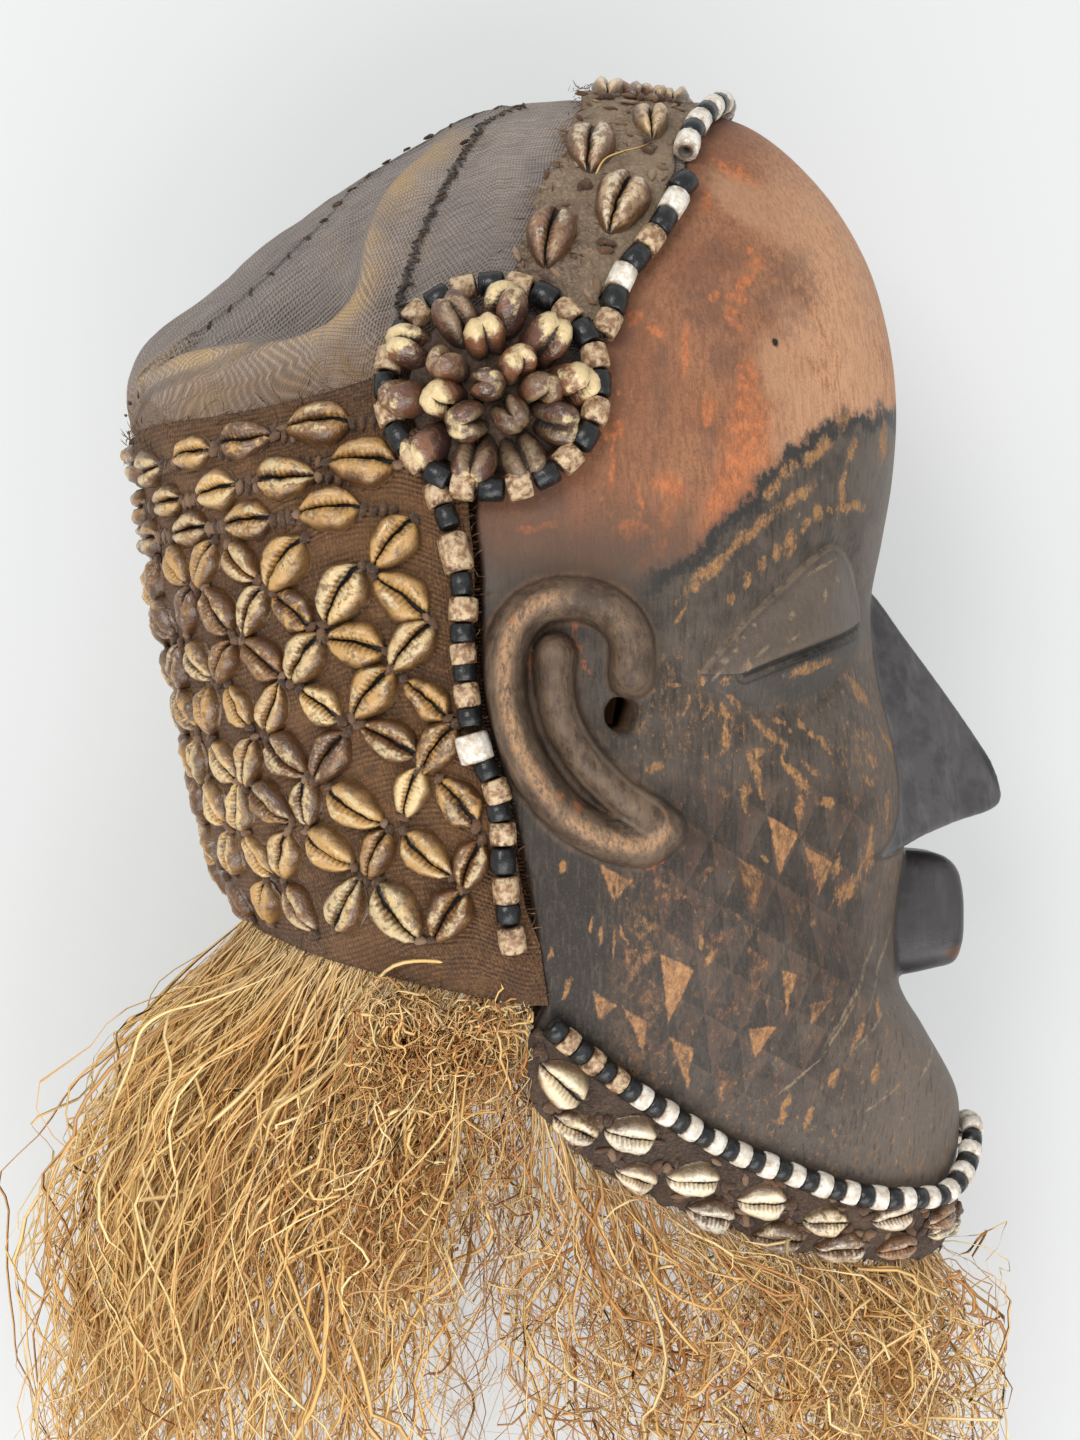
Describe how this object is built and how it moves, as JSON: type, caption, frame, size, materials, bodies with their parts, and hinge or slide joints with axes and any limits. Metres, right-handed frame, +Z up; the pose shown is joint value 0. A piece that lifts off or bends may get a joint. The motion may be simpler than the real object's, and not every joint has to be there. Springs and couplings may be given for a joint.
{
  "type": "helmet mask",
  "caption": "Carved and painted wooden helmet mask with a cloth hood sewn with cowrie shells and glass beads and fringed with raffia, lying on its left side.",
  "frame": {"origin": "on the floor under the middle of the mask's bounding box", "axes": "+X to the front of the face, +Y to the crown of the head, +Z up from the floor, which is the mask's right side"},
  "size_m": [0.3874, 0.5908, 0.2416],
  "materials": {
    "painted_wood": "dark paint and orange pigment, worn and rubbed, satin",
    "crown_cloth": "dark dusty raffia cloth",
    "hood_cloth": "brown raffia cloth",
    "band_cloth": "brown raffia cloth",
    "cowrie_shell": "glossy cowrie shell, stained",
    "bead_glass": "opaque glass, black and white by turns",
    "raffia": "loose raffia fibre, matt"
  },
  "bodies": {
    "root": {"wooden_face": "painted_wood", "hood_crown": "crown_cloth", "hood_back": "hood_cloth", "hair_band": "band_cloth", "chin_band": "band_cloth", "cowrie_net_1": "cowrie_shell", "cowrie_net_2": "cowrie_shell", "cowrie_net_3": "cowrie_shell", "cowrie_net_4": "cowrie_shell", "cowrie_net_5": "cowrie_shell", "cowrie_net_6": "cowrie_shell", "cowrie_net_7": "cowrie_shell", "cowrie_net_8": "cowrie_shell", "cowrie_row_1": "cowrie_shell", "cowrie_row_2": "cowrie_shell", "cowrie_row_3": "cowrie_shell", "hair_cowries_front": "cowrie_shell", "hair_cowries_rear": "cowrie_shell", "chin_cowries_upper": "cowrie_shell", "chin_cowries_lower": "cowrie_shell", "hairline_beads_right": "bead_glass", "hairline_beads_top": "bead_glass", "jaw_beads": "bead_glass", "temple_beads_right": "bead_glass", "temple_beads_left": "bead_glass", "temple_rosette_right": "cowrie_shell", "rosette_beads_right": "bead_glass", "temple_rosette_left": "cowrie_shell", "rosette_beads_left": "bead_glass", "nape_fringe": "raffia", "chin_fringe": "raffia"}
  },
  "joints": []
}
